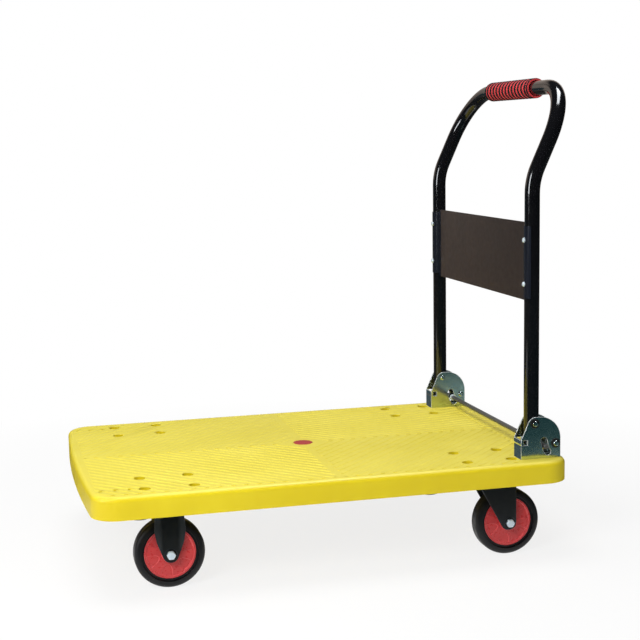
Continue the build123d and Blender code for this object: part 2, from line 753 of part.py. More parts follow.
def make_hub(x, y):
    """A moulded hub: boss, web with shallow petals and a thin rim, on a plain bore."""
    bore = axle_sleeve_diameter / 2 + running_gap
    outer = hub_diameter / 2
    boss = hub_boss_diameter / 2
    inside = outer - hub_rim_wall
    tall = fork_gap / 2 - axial_gap
    web, rim = hub_web_width / 2, hub_rim_width / 2
    half = [(bore, tall), (boss, tall), (boss, web), (inside, web), (inside, rim), (outer, rim)]
    outline = half + [(r, -a) for r, a in reversed(half)]
    hub = revolve(make_face(Polyline(*outline, close=True)), Axis.Y)
    petal = Pos(petal_inner + petal_length, 0) * Ellipse(petal_length, petal_width / 2)
    petal &= Circle(inside - petal_land)
    pocket = Pos(0, 0, web - petal_depth) * extrude(petal, petal_depth)
    turns = [petal_turn + i * 360 / petal_count for i in range(petal_count)]
    hub -= [Rot(90 * face, 0, 0) * Rot(0, 0, turn) * pocket for turn in turns for face in (-1, 1)]
    return Pos(x, y, axle_height) * hub


nodes = {"deck": make_deck(), "centre_disc": make_disc()}
nodes["bracket_bolts"] = make_bracket_bolts()
nodes["bracket_nuts"] = make_nuts(bracket_bolt_places, bracket_bolt_diameter, caster_height)
nodes["caster_bolts"] = make_caster_bolts()
nodes["caster_nuts"] = make_nuts(caster_bolt_places, caster_bolt_diameter, plate_bottom)
hinge_points = [(tube_x, pivot_z), (spring_bolt_x, spring_bolt_z)]
nodes["pivot_bolts"] = [hinge_pin(side, *hinge_points[0]) for side in sides.values()]
nodes["spring_bolts"] = [hinge_pin(side, *hinge_points[1]) for side in sides.values()]
nodes["hinge_washers"] = [hinge_washer(side, *point) for side in sides.values() for point in hinge_points]
nodes["hinge_nuts"] = [hinge_nut(side, *point) for side in sides.values() for point in hinge_points]
nodes["spring_spacers"] = [make_spacer(side) for side in sides.values()]
nodes["lock_rod"] = make_lock_rod()
nodes["rod_collars"] = make_collars()
nodes["handle_tube"] = make_handle_tube()
nodes["handle_panel"] = make_panel()
nodes["panel_screws"] = make_panel_screws()
nodes["grip"] = make_grip()
nodes["pivot_bushes"] = [make_bush(side) for side in sides.values()]

for name, side in sides.items():
    nodes[f"bracket_{name}"] = make_bracket(side)
    nodes[f"lock_spring_{name}"] = make_spring(side)
    nodes[f"rigid_fork_{name}"] = make_rigid_fork(side)
    nodes[f"swivel_plate_{name}"] = make_swivel_plate(side)
    nodes[f"king_pin_{name}"] = make_king_pin(side)
    nodes[f"swivel_race_{name}"] = make_race(side)
    nodes[f"swivel_fork_{name}"] = make_swivel_fork(side)
    for end, axle_x in (("front", front_caster_x), ("rear", rear_axle_x)):
        corner = f"{end}_{name}"
        nodes[f"axle_bolt_{corner}"] = make_axle_bolt(axle_x, side * caster_y, side)
        nodes[f"axle_nut_{corner}"] = make_axle_nut(axle_x, side * caster_y, side)
        nodes[f"axle_sleeve_{corner}"] = make_axle_sleeve(axle_x, side * caster_y)
        nodes[f"tyre_{corner}"] = make_tyre(axle_x, side * caster_y)
        nodes[f"hub_{corner}"] = make_hub(axle_x, side * caster_y)

# The origin is on the floor, below the middle of the cart's whole length.
os.makedirs("parts", exist_ok=True)
for name, shape in nodes.items():
    solids = shape if isinstance(shape, list) else [shape]
    placed = [Pos(-origin_x, 0, 0) * solid for solid in solids]
    export_step(placed[0] if len(placed) == 1 else Compound(placed), f"parts/{name}.step")
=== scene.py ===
import json
from math import cos, pi, radians, sin, sqrt

import bmesh
import bpy
from mathutils import Matrix, Vector

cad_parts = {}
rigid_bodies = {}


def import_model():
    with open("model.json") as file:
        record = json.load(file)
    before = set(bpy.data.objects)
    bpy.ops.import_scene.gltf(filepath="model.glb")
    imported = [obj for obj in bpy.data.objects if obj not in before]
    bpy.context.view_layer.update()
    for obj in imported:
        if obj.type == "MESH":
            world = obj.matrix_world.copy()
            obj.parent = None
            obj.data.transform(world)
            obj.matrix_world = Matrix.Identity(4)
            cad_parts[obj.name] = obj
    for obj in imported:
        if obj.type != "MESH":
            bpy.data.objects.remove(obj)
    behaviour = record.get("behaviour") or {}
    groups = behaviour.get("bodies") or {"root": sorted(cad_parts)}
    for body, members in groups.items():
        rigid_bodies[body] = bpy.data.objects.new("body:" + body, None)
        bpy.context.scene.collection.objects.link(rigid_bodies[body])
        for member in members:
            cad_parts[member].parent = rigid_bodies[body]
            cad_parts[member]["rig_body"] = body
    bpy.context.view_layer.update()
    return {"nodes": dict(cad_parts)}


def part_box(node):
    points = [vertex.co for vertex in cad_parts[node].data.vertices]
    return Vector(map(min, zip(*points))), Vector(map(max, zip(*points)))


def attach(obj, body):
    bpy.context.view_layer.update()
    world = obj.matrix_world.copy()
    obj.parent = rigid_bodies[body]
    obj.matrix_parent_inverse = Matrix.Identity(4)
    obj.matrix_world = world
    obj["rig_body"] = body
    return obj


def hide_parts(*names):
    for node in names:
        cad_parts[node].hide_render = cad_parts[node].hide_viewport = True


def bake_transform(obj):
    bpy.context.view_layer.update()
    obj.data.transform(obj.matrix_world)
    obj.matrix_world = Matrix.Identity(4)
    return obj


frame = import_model()

scene = bpy.context.scene
deck_low, deck_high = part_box("deck")
mid_x = (deck_low.x + deck_high.x) / 2
deck_top = deck_high.z
tube_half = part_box("handle_tube")[1].y


# Materials

class Paint:
    """A Principled material with procedural layers. Sizes are in metres, in the piece's own frame."""

    def __init__(self, name, **values):
        self.material = bpy.data.materials.new(name)
        self.material.use_nodes = True
        self.tree = self.material.node_tree
        self.shader = self.tree.nodes["Principled BSDF"]
        where = self.node("TexCoord")
        self.place = where.outputs["Object"]
        self.facing = where.outputs["Normal"]
        self.normal = None
        for socket, value in values.items():
            self.shader.inputs[socket.replace("_", " ")].default_value = value

    def node(self, kind, **settings):
        made = self.tree.nodes.new("ShaderNode" + kind)
        for key, value in settings.items():
            setattr(made, key, value)
        return made

    def link(self, source, target):
        self.tree.links.new(source, target)

    def stretched(self, stretch):
        """The place, scaled per axis."""
        scaled = self.node("Mapping")
        scaled.inputs["Scale"].default_value = stretch
        self.link(self.place, scaled.inputs["Vector"])
        return scaled.outputs["Vector"]

    def noise(self, size, detail=3.0, stretch=(1, 1, 1), roughness=0.55):
        made = self.node("TexNoise")
        made.inputs["Scale"].default_value = 1 / size
        made.inputs["Detail"].default_value = detail
        made.inputs["Roughness"].default_value = roughness
        self.link(self.stretched(stretch), made.inputs["Vector"])
        return made.outputs["Fac"]

    def cells(self, size):
        made = self.node("TexVoronoi")
        made.inputs["Scale"].default_value = 1 / size
        self.link(self.place, made.inputs["Vector"])
        return made.outputs["Distance"]

    def between(self, value, low, high, start=0.0, end=1.0):
        """Maps low..high of a value to start..end."""
        made = self.node("MapRange")
        for name, number in zip(("From Min", "From Max", "To Min", "To Max"), (low, high, start, end)):
            made.inputs[name].default_value = number
        self.link(value, made.inputs["Value"])
        return made.outputs["Result"]

    def part(self, vector, axis):
        """One component of a vector."""
        made = self.node("SeparateXYZ")
        self.link(vector, made.inputs[0])
        return made.outputs[axis]

    def combined(self, operation, first, second):
        made = self.node("Math", operation=operation)
        self.link(first, made.inputs[0])
        self.link(second, made.inputs[1])
        return made.outputs[0]

    def times(self, first, second):
        return self.combined("MULTIPLY", first, second)

    def larger(self, first, second):
        return self.combined("MAXIMUM", first, second)

    def mixed(self, factor, first, second):
        """A colour between two, each a socket or three numbers."""
        made = self.node("Mix", data_type="RGBA")
        self.link(factor, made.inputs["Factor"])
        for socket, colour in ((made.inputs[6], first), (made.inputs[7], second)):
            if isinstance(colour, tuple):
                socket.default_value = (*colour, 1)
            else:
                self.link(colour, socket)
        return made.outputs[2]

    def colour(self, value):
        self.link(value, self.shader.inputs["Base Color"])

    def rough(self, value):
        self.link(value, self.shader.inputs["Roughness"])

    def bump(self, height, depth, strength=1.0):
        made = self.node("Bump")
        made.inputs["Strength"].default_value = strength
        made.inputs["Distance"].default_value = depth
        self.link(height, made.inputs["Height"])
        if self.normal is not None:
            self.link(self.normal, made.inputs["Normal"])
        self.normal = made.outputs["Normal"]
        self.link(self.normal, self.shader.inputs["Normal"])


def deck_plastic():
    """Yellow moulded plastic: deep on the sides, with a paler top that is painted sheen, with sink marks and
    scuffs.
    """
    paint = Paint("deck_plastic", IOR=1.49, Specular_IOR_Level=0.4)
    cloud = paint.between(paint.noise(0.16, 3), 0.35, 0.65)
    sink = paint.between(paint.noise(0.05, 2, (1, 1, 0.04)), 0.3, 0.7)
    tint = paint.mixed(cloud, (0.75, 0.59, 0.006), (0.79, 0.635, 0.010))
    tint = paint.mixed(paint.between(sink, 0, 1, 0, 0.3), tint, (0.69, 0.51, 0.006))
    # Painted sheen: faces that look up get a paler yellow.
    top = paint.between(paint.part(paint.facing, "Z"), 0.5, 0.95)
    tint = paint.mixed(top, tint, paint.mixed(cloud, (0.82, 0.70, 0.075), (0.86, 0.74, 0.095)))
    scuff = paint.between(paint.noise(0.018, 6, (0.35, 1, 1), 0.7), 0.70, 0.78, 0, 0.35)
    paint.colour(paint.mixed(scuff, tint, (0.42, 0.34, 0.08)))
    paint.rough(paint.between(paint.noise(0.03, 5), 0.3, 0.7, 0.38, 0.52))
    paint.bump(paint.noise(0.0012, 2), 0.00003, 0.5)
    paint.bump(paint.noise(0.06, 2), 0.0006, 0.25)
    return paint.material


def disc_plastic():
    paint = Paint("disc_plastic", IOR=1.49)
    paint.colour(paint.mixed(paint.noise(0.01, 4), (0.40, 0.012, 0.016), (0.52, 0.025, 0.028)))
    paint.rough(paint.between(paint.noise(0.004, 4), 0.3, 0.7, 0.25, 0.4))
    paint.bump(paint.noise(0.002, 3), 0.00004, 0.5)
    return paint.material


def zinc():
    """Zinc-plated sheet. In the shading, walls that face the front lean back, apart from one flat stripe."""
    paint = Paint("zinc", Metallic=1.0)
    cloud = paint.between(paint.noise(0.02, 4), 0.3, 0.7)
    tint = paint.mixed(cloud, (0.60, 0.71, 0.72), (0.70, 0.77, 0.77))
    bloom = paint.between(paint.noise(0.006, 5), 0.58, 0.75, 0, 0.5)
    paint.colour(paint.mixed(bloom, tint, (0.60, 0.62, 0.52)))
    paint.rough(paint.between(paint.noise(0.004, 5), 0.3, 0.7, 0.13, 0.22))
    front = paint.between(paint.part(paint.facing, "X"), -0.9, -0.98)
    height = paint.part(paint.place, "Z")
    stripe_low = deck_top + 0.0245
    stripe_high = deck_top + 0.0292
    stripe_fade = 0.0020
    stripe = paint.times(
        paint.between(height, stripe_low, stripe_low + stripe_fade),
        paint.between(height, stripe_high - stripe_fade, stripe_high, 1, 0),
    )
    lean_back = paint.between(stripe, 0, 1, 0.42, 0.0)
    lean = paint.node("CombineXYZ")
    paint.link(paint.times(front, lean_back), lean.inputs["Z"])
    leaning = paint.node("VectorMath", operation="ADD")
    paint.link(paint.node("NewGeometry").outputs["Normal"], leaning.inputs[0])
    paint.link(lean.outputs[0], leaning.inputs[1])
    upright = paint.node("VectorMath", operation="NORMALIZE")
    paint.link(leaning.outputs[0], upright.inputs[0])
    paint.normal = upright.outputs[0]
    paint.bump(paint.noise(0.0015, 3), 0.00002, 0.3)
    paint.bump(paint.noise(0.016, 1), 0.0003, 0.3)
    return paint.material


def bolt_zinc():
    # Pale blue-white zinc with little metal, so the bolts look bright: partly painted reflection.
    paint = Paint("bolt_zinc", Metallic=0.35)
    cloud = paint.between(paint.noise(0.006, 4), 0.3, 0.7)
    paint.colour(paint.mixed(cloud, (0.72, 0.85, 0.95), (0.82, 0.93, 1.0)))
    paint.rough(paint.between(paint.noise(0.003, 4), 0.3, 0.7, 0.30, 0.42))
    paint.bump(paint.noise(0.0012, 3), 0.00003, 0.4)
    return paint.material


def zinc_painted_highlight():
    """Painted highlight on the cut and rolled edges of the zinc sheet: a lighter zinc with less metal."""
    paint = Paint("zinc_painted_highlight", Metallic=0.5)
    paint.colour(paint.mixed(paint.noise(0.004, 3), (0.66, 0.72, 0.74), (0.82, 0.86, 0.87)))
    paint.rough(paint.between(paint.noise(0.003, 4), 0.3, 0.7, 0.26, 0.40))
    return paint.material


def rod_steel():
    paint = Paint("rod_steel", Metallic=0.35)
    grain = paint.noise(0.01, 5, (1, 0.2, 1))
    paint.colour(paint.mixed(grain, (0.100, 0.1025, 0.105), (0.134, 0.135, 0.1375)))
    paint.rough(paint.between(paint.noise(0.004, 4), 0.3, 0.7, 0.38, 0.52))
    paint.bump(paint.noise(0.0012, 3, (1, 0.2, 1)), 0.00003, 0.4)
    return paint.material


def plain_steel():
    paint = Paint("plain_steel", Metallic=1.0)
    paint.colour(paint.mixed(paint.noise(0.008, 5), (0.30, 0.29, 0.28), (0.46, 0.45, 0.44)))
    paint.rough(paint.between(paint.noise(0.003, 4), 0.3, 0.7, 0.28, 0.48))
    paint.bump(paint.noise(0.001, 3), 0.00003, 0.4)
    return paint.material


def black_gloss():
    paint = Paint("tube_paint", IOR=1.5, Coat_Weight=0.4, Coat_Roughness=0.06)
    paint.colour(paint.mixed(paint.noise(0.03, 3), (0.003, 0.003, 0.004), (0.006, 0.006, 0.007)))
    paint.rough(paint.between(paint.noise(0.01, 4), 0.3, 0.7, 0.08, 0.15))
    paint.bump(paint.noise(0.03, 1), 0.0002, 0.15)
    return paint.material


def panel_paint():
    """Brown-black powder paint on the flat sheet, its brown partly painted reflection of a warm room, and
    painted lighter towards the far end as a painted reflection. Glossier on the flanges that wrap the tubes,
    which are painted dark blue as a painted sheen.
    """
    paint = Paint("panel_paint", IOR=1.45)
    cloud = paint.between(paint.noise(0.09, 4), 0.3, 0.7)
    streak = paint.between(paint.noise(0.02, 3, (1, 1, 0.08)), 0.3, 0.7, 0, 0.4)
    flat = paint.mixed(cloud, (0.027, 0.0170, 0.0145), (0.034, 0.0225, 0.0195))
    across = paint.part(paint.place, "Y")
    # Painted reflection: the sheet turns lighter towards the far end.
    far_end_painted_reflection = paint.between(across, -0.20, 0.22, 0, 0.9)
    flat = paint.mixed(far_end_painted_reflection, flat, (0.064, 0.0440, 0.0375))
    flat = paint.mixed(streak, flat, (0.025, 0.019, 0.016))
    right_flange = tube_half - 0.0395
    left_flange = 0.0270 - tube_half
    wrap = paint.larger(
        paint.between(across, right_flange, right_flange + 0.0020),
        paint.between(across, left_flange, left_flange - 0.0008),
    )
    # Painted sheen: the flanges are dark blue.
    paint.colour(paint.mixed(wrap, flat, (0.010, 0.012, 0.019)))
    plain = paint.between(paint.noise(0.012, 5), 0.3, 0.7, 0.30, 0.42)
    gloss = paint.node("Mix", data_type="FLOAT")
    paint.link(wrap, gloss.inputs[0])
    paint.link(plain, gloss.inputs[2])
    gloss.inputs[3].default_value = 0.16
    paint.rough(gloss.outputs[0])
    paint.bump(paint.noise(0.0016, 3), 0.00004, 0.4)
    paint.bump(paint.noise(0.12, 1), 0.0015, 0.2)
    return paint.material


def foam(name, dark, light):
    paint = Paint(name, IOR=1.4, Specular_IOR_Level=0.35)
    paint.colour(paint.mixed(paint.between(paint.noise(0.003, 5), 0.3, 0.7), dark, light))
    paint.rough(paint.between(paint.noise(0.004, 4), 0.3, 0.7, 0.62, 0.82))
    paint.bump(paint.cells(0.0011), 0.00006, 0.4)
    return paint.material


def caster_black(name, flat):
    """Black paint on pressed steel, painted a little greyer where the sheet turns away to the front and the
    back: painted light.
    """
    paint = Paint(name, IOR=1.47)
    cloud = paint.between(paint.noise(0.02, 5), 0.35, 0.7)
    turned = paint.node("Math", operation="ABSOLUTE")
    paint.link(paint.part(paint.facing, "X"), turned.inputs[0])
    # Painted light: where the sheet turns away, the black is lighter.
    turned_painted_light = paint.between(turned.outputs[0], 0.06, 0.16)
    plain = paint.mixed(cloud, flat, tuple(1.5 * c for c in flat))
    paint.colour(paint.mixed(turned_painted_light, plain, (0.022, 0.026, 0.029)))
    paint.rough(paint.between(paint.noise(0.008, 5), 0.3, 0.7, 0.30, 0.50))
    paint.bump(paint.noise(0.0018, 3), 0.00006, 0.45)
    return paint.material


def washer_black():
    paint = Paint("washer_black", IOR=1.47)
    paint.colour(paint.mixed(paint.noise(0.005, 4), (0.008, 0.008, 0.009), (0.018, 0.017, 0.017)))
    paint.rough(paint.between(paint.noise(0.003, 4), 0.3, 0.7, 0.28, 0.45))
    paint.bump(paint.noise(0.0012, 3), 0.00004, 0.4)
    return paint.material


def tyre_rubber():
    paint = Paint("tyre_rubber", IOR=1.5, Specular_IOR_Level=0.35)
    dust = paint.between(paint.noise(0.02, 6), 0.45, 0.75, 0, 0.6)
    paint.colour(paint.mixed(dust, (0.005, 0.005, 0.006), (0.010, 0.010, 0.010)))
    paint.rough(paint.between(paint.noise(0.012, 5), 0.3, 0.7, 0.36, 0.55))
    paint.bump(paint.noise(0.001, 3), 0.00005, 0.5)
    return paint.material


def hub_plastic(name, dark, light):
    paint = Paint(name, IOR=1.49)
    cloud = paint.between(paint.noise(0.02, 4), 0.3, 0.7)
    paint.colour(paint.mixed(cloud, dark, light))
    paint.rough(paint.between(paint.noise(0.006, 4), 0.3, 0.7, 0.25, 0.34))
    paint.bump(paint.noise(0.0013, 2), 0.00003, 0.35)
    return paint.material


grip_black = foam("grip_black", (0.006, 0.007, 0.008), (0.012, 0.013, 0.014))
grip_red = foam("grip_red", (0.58, 0.042, 0.050), (0.66, 0.056, 0.064))
finishes = {
    "deck_plastic": deck_plastic(),
    "disc_plastic": disc_plastic(),
    "zinc": zinc(),
    "washer_black": washer_black(),
    "plain_steel": plain_steel(),
    "tube_paint": black_gloss(),
    "panel_paint": panel_paint(),
    "grip_rubber": grip_black,
    "caster_black": caster_black("caster_black", (0.004, 0.005, 0.005)),
    "tyre_rubber": tyre_rubber(),
    "hub_plastic": hub_plastic("hub_plastic", (0.54, 0.034, 0.037), (0.61, 0.043, 0.045)),
}
slots = {}
looks = {}
for name, piece in frame["nodes"].items():
    slots[name] = piece.data.materials[0].name.split(".")[0]
    looks[name] = finishes[slots[name]]
bolt_painted_reflection = bolt_zinc()
# Painted highlight for the edges of the brackets.
zinc_edge_painted_highlight = zinc_painted_highlight()
# Painted highlight: the roundings of the hubs take a lighter red.
hub_rounding_painted_highlight = hub_plastic("hub_edge", (0.70, 0.085, 0.090), (0.76, 0.10, 0.105))
# Bolts, nuts, collars and screws take the zinc with painted reflection.
for name in looks:
    if name.startswith(("axle_bolt", "axle_nut", "rod_collars", "panel_screws")):
        looks[name] = bolt_painted_reflection
looks["lock_rod"] = rod_steel()
# The swivel forks take a lighter copy of the caster black: painted light.
fork_black = caster_black("fork_black", (0.008, 0.009, 0.010))
looks["swivel_fork_left"] = looks["swivel_fork_right"] = fork_black
for name, piece in frame["nodes"].items():
    piece.data.materials[0] = looks[name]


# Pieces

seam = 2e-6


def open_node(node):
    """A CAD node's mesh to work on, with its seams closed."""
    work = bmesh.new()
    work.from_mesh(frame["nodes"][node].data)
    bmesh.ops.remove_doubles(work, verts=work.verts, dist=seam)
    return work


def close_mesh(name, work):
    mesh = bpy.data.meshes.new(name)
    work.to_mesh(mesh)
    work.free()
    return mesh


def add_piece(name, mesh, body, materials, node=None, sharp=40):
    """Links a mesh as a piece, which rides on a body if one is given and may stand for a CAD node."""
    piece = bpy.data.objects.new(name, mesh)
    scene.collection.objects.link(piece)
    for material in materials:
        mesh.materials.append(material)
    mesh.shade_smooth()
    mesh.set_sharp_from_angle(angle=radians(sharp))
    if body:
        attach(piece, body)
    if node:
        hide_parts(node)
    return piece


def body_of(node):
    return frame["nodes"][node]["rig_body"]


def bends(face, rounded):
    """Whether a face is part of a curved surface: a neighbour that is no rounding meets it at an angle."""
    beside = [other for edge in face.edges for other in edge.link_faces if other is not face]
    return any(other.normal.angle(face.normal, 0) > radians(0.3) for other in beside if other not in rounded)


def dress(node, width, segments=2, least=28, edge=None, sheet=0.0):
    """Stands for a CAD node with its sharp edges rounded. A lighter material given as edge, a painted
    highlight, goes on roundings and cut edges.
    """
    work = open_node(node)
    sharp = [e for e in work.edges if len(e.link_faces) == 2 and e.calc_face_angle() > radians(least)]
    made = bmesh.ops.bevel(
        work, geom=sharp, offset=width, offset_type="OFFSET", segments=segments, profile=0.5,
        affect="EDGES", clamp_overlap=False, loop_slide=False,
    )
    rounded = set(made["faces"])
    work.normal_update()
    curved = [face in rounded or bends(face, rounded) for face in work.faces]
    # Painted highlight: roundings and cut edges take the lighter edge material.
    if edge:
        low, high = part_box(node)
        for face in work.faces:
            middle = face.calc_center_median()
            cut = min(middle.y - low.y, high.y - middle.y) < sheet and abs(face.normal.y) < 0.2
            cut = cut and middle.x > low.x + 2 * sheet and middle.z > low.z + 2 * sheet
            face.material_index = int(cut or face in rounded)
    mesh = close_mesh(node + "_dressed", work)
    finish = [looks[node]] + ([edge] if edge else [])
    piece = add_piece(node + "_dressed", mesh, body_of(node), finish, node)
    mesh.polygons.foreach_set("use_smooth", curved)
    even = piece.modifiers.new("even", "WEIGHTED_NORMAL")
    even.keep_sharp = True


# Deck: the ribs under it end at a depth and an inset where their corners stand out of the rounded rim

rim_radius = 0.010
rib_depth = 0.0025
rib_inset = 0.0020
core_x, core_y = 0.38, 0.23
rim_width = 0.04
level_error = 1e-5


def rim_inset(depth):
    """How far the rounded rim of the deck stands in from its outline, at a depth below the top."""
    return rim_radius - sqrt(rim_radius**2 - (rim_radius - depth) ** 2)


def faces_out(point, normal):
    """Whether a face near the deck's rim looks away from the deck."""
    x, y = point.x - mid_x, point.y
    away = Vector((x - max(-core_x, min(core_x, x)), y - max(-core_y, min(core_y, y)), 0))
    upright = abs(normal.z) < 0.05
    return upright and away.length > rim_width and normal.dot(away.normalized()) > 0.6


def settle_deck():
    """Stands for the deck, with the rib corners that stand out of its rounded rim pressed back into it."""
    source = frame["nodes"]["deck"].data
    places = [vert.co.copy() for vert in source.vertices]
    spots = [tuple(round(c, 5) for c in place) for place in places]
    depths = [deck_top - place.z for place in places]
    at_top = [abs(depth - rib_depth) < level_error for depth in depths]
    normals = [Vector(corner.vector) for corner in source.corner_normals]
    seats = {}
    for face in source.polygons:
        span = [depths[v] for v in face.vertices]
        if min(span) < rib_depth - level_error or max(span) > 2 * rib_depth:
            continue
        if not faces_out(face.center, face.normal):
            continue
        for loop, v in zip(face.loop_indices, face.vertices):
            rise = (rim_radius - depths[v]) / rim_radius
            normals[loop] = face.normal * sqrt(1 - rise**2) + Vector((0, 0, rise))
            if at_top[v]:
                seats[spots[v]] = places[v] - face.normal * (rim_inset(rib_depth) - rib_inset)
    for face in source.polygons:
        tips = [v for v in face.vertices if spots[v] in seats]
        feet = [v for v in face.vertices if at_top[v] and spots[v] not in seats]
        if tips and feet and abs(face.normal.z) < 0.01:
            for v in tips:
                seats[spots[v]] = places[feet[0]]
    settled = [seats.get(spot, place) for spot, place in zip(spots, places)]
    kept = []
    for face in source.polygons:
        apart = {tuple(settled[v]) for v in face.vertices}
        if len(apart) == len(face.vertices):
            kept.append(face)
    mesh = bpy.data.meshes.new("deck_settled")
    mesh.from_pydata(settled, [], [list(face.vertices) for face in kept])
    add_piece("deck_settled", mesh, body_of("deck"), [looks["deck"]], "deck")
    mesh.normals_split_custom_set([normals[loop] for face in kept for loop in face.loop_indices])


settle_deck()


# Other pieces with rounded edges

bracket_sheet = 0.0026
sheet_rounding = 0.0006
fork_rounding = 0.0007
wheel_rounding = 0.0006
axle_head_rounding = 0.0014
axle_nut_rounding = 0.0005
fastener_rounding = 0.0004
sides = ("left", "right")
corners = [end + "_" + side for end in ("front", "rear") for side in sides]
for side in sides:
    dress("bracket_" + side, sheet_rounding, edge=zinc_edge_painted_highlight, sheet=bracket_sheet)
    dress("rigid_fork_" + side, fork_rounding)
    dress("swivel_fork_" + side, fork_rounding)
    dress("swivel_plate_" + side, sheet_rounding)
for corner in corners:
    dress("hub_" + corner, wheel_rounding, 3, edge=hub_rounding_painted_highlight)
    dress("tyre_" + corner, wheel_rounding)
    dress("axle_bolt_" + corner, axle_head_rounding, 4)
    dress("axle_nut_" + corner, axle_nut_rounding)
for fastener in ("bracket_bolts", "bracket_nuts", "caster_nuts", "hinge_nuts", "hinge_washers"):
    dress(fastener, fastener_rounding)


# Lock springs: the coil stays on its bolt, and the leg under the rod is cut across in a few places where it
# would bend

rod_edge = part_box("lock_rod")[1].x
bend_start = rod_edge + 0.0058
bend_end = rod_edge + 0.0003
bend_parts = 4
for side in sides:
    node = "lock_spring_" + side
    work = open_node(node)
    for i in range(bend_parts + 1):
        place = (bend_start + (bend_end - bend_start) * i / bend_parts, 0, 0)
        geometry = [*work.verts, *work.edges, *work.faces]
        bmesh.ops.bisect_plane(work, geom=geometry, plane_co=place, plane_no=(1, 0, 0))
    mesh = close_mesh(node + "_bent", work)
    spring = add_piece(node + "_bent", mesh, None, [looks[node]], node)
    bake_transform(spring)


# Tread of the deck: low ribs in concentric diamonds, in four quarters

field_front = 0.430
field_rear = 0.425
field_side = 0.283
field_corner = 0.030
middle_band = 0.0075
centre_gap = 0.0012
rib_step = 0.0233
rib_profile = [(-3.9, -0.4), (-3.1, 0.35), (-2.1, 0.72), (0, 0.85), (2.1, 0.72), (3.1, 0.35), (3.9, -0.4)]
rib_lines = 40
shortest_rib = 0.007
caster_front, caster_rear, caster_side = -0.302, 0.294, 0.217
bolt_half_x, bolt_half_y = 0.0435, 0.0375
bolt_places = [
    (x + i * bolt_half_x, caster_side + j * bolt_half_y)
    for x in (caster_front, caster_rear) for i in (-1, 1) for j in (-1, 1)
]
recess_clear = 0.0122
small_hole_side = 0.251
small_holes = [(x, small_hole_side) for x in (-0.422, -0.397, -0.372)]
small_clear = 0.0062
disc_clear = 0.0300
bracket_front = 0.3445
bracket_inner = 0.2280
bracket_outer = 0.2900


def rib_cuts(end, line):
    """The stretches of a rib line, from the middle line on, that stay free for holes and brackets."""
    holes = [(abs(x), y, recess_clear) for x, y in bolt_places if x * end > 0]
    holes += [(abs(x), y, small_clear) for x, y in small_holes if x * end > 0]
    holes += [(0, 0, disc_clear)]
    cuts = []
    for x, y, radius in holes:
        off = (x + y - line) / sqrt(2)
        middle = x - off / sqrt(2)
        half = sqrt(max(radius**2 - off**2, 0) / 2)
        cuts.append((middle - half, middle + half))
    if end > 0:
        start = max(bracket_front, line - bracket_outer)
        cuts.append((start, max(start, line - bracket_inner)))
    return cuts


def rib_reach(end, line):
    """Where a rib line starts and ends, as distances from the middle line."""
    long = field_rear if end > 0 else field_front
    start = max(middle_band, line - field_side)
    stop = min(long, line - centre_gap)
    knee = long + field_side - field_corner * (2 - sqrt(2))
    if line > knee:
        over = (line - knee) * 0.5
        start, stop = start + over, stop - over
    return start, max(start, stop)


def tread_rib(work, end, side, distance):
    """One straight rib, in as many stretches as the holes leave."""
    lines = [distance + offset / 1000 * sqrt(2) for offset, height in rib_profile]
    reaches = [rib_reach(end, line) for line in lines]
    centre = len(lines) // 2
    if reaches[centre][1] - reaches[centre][0] < shortest_rib:
        return
    cuts = list(zip(*[rib_cuts(end, line) for line in lines]))
    cuts = [c for c in cuts if any(b - a > 1e-5 for a, b in c)]
    cuts = [c for c in cuts if reaches[centre][0] < c[centre][1] and c[centre][0] < reaches[centre][1]]
    cuts.sort(key=lambda c: c[centre])
    starts = [[r[0] for r in reaches]] + [[b for a, b in c] for c in cuts]
    stops = [[a for a, b in c] for c in cuts] + [[r[1] for r in reaches]]
    for begin, finish in zip(starts, stops):
        if finish[centre] - begin[centre] < shortest_rib:
            continue
        rings = []
        for places in (begin, finish):
            ring = []
            for x, line, (offset, height) in zip(places, lines, rib_profile):
                point = (mid_x + end * x, side * (line - x), deck_top + height / 1000)
                ring.append(work.verts.new(point))
            rings.append(ring)
        count = len(rib_profile)
        for i in range(count):
            j = (i + 1) % count
            work.faces.new((rings[0][i], rings[0][j], rings[1][j], rings[1][i]))
        work.faces.new(rings[0])
        work.faces.new(rings[1])


def make_tread():
    work = bmesh.new()
    for end in (-1, 1):
        for side in (-1, 1):
            for i in range(rib_lines):
                tread_rib(work, end, side, (i + 0.5) * rib_step)
    bmesh.ops.recalc_face_normals(work, faces=work.faces)
    mesh = close_mesh("deck_tread", work)
    add_piece("deck_tread", mesh, "platform", [finishes["deck_plastic"]], sharp=55)


make_tread()


# Grip: a red foam sleeve with black rings

def grip_part(name, outlines, material, node=None, steps=72):
    """Turned solids about the bar of the handle, from closed outlines of (radius, y)."""
    work = bmesh.new()
    for outline in outlines:
        rings = []
        for i in range(steps):
            turn = 2 * pi * i / steps
            points = [(grip_x + r * cos(turn), y, grip_z + r * sin(turn)) for r, y in outline]
            rings.append([work.verts.new(point) for point in points])
        for i in range(steps):
            here, there = rings[i], rings[(i + 1) % steps]
            for j in range(len(outline)):
                k = (j + 1) % len(outline)
                work.faces.new((here[j], here[k], there[k], there[j]))
    bmesh.ops.recalc_face_normals(work, faces=work.faces)
    add_piece(name, close_mesh(name, work), "handle", [material], node)


grip_low, grip_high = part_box("grip")
grip_x = (grip_low.x + grip_high.x) / 2
grip_z = (grip_low.z + grip_high.z) / 2
bore = 0.0141
countersink = 0.0153
countersink_depth = 0.003
rim = (grip_high.z - grip_low.z) / 2
core = rim - 0.0008
ring_root = core - 0.0006
ring_count = 13
ring_width = 0.0078
ring_steps = 6
end_width = 0.006
end_lip = 0.0003
ring_pitch = (grip_high.y - grip_low.y - 2 * end_width) / ring_count


